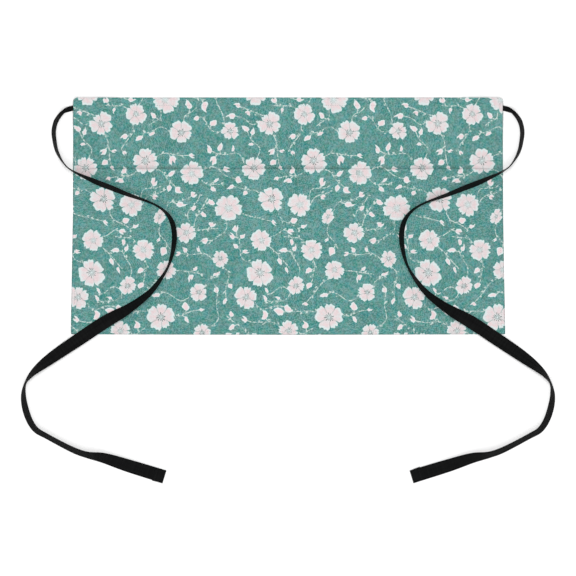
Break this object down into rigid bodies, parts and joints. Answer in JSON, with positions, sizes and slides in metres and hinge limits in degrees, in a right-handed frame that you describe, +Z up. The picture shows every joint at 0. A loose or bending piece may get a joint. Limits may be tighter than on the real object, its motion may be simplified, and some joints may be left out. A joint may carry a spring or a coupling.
{
  "type": "half waist apron",
  "caption": "Half waist apron of printed cloth laid flat, with a wide pocket divided into open-topped compartments and long flat ties at the waist corners.",
  "frame": {"origin": "on the table under the middle of the panel, at the bottom centre of the panel and pocket", "axes": "+X across the wearer's width, +Y towards the waist edge, +Z up off the table, out of the printed face"},
  "size_m": [0.6794, 0.4906, 0.0271],
  "materials": {
    "printed_cloth": "matt woven cloth printed with pale pink blossoms and leaf sprigs on mottled teal",
    "tie_tape": "matt black woven tape"
  },
  "bodies": {
    "root": {"panel": "printed_cloth", "pocket": "printed_cloth", "tie_left": "tie_tape", "tie_right": "tie_tape"}
  },
  "joints": []
}
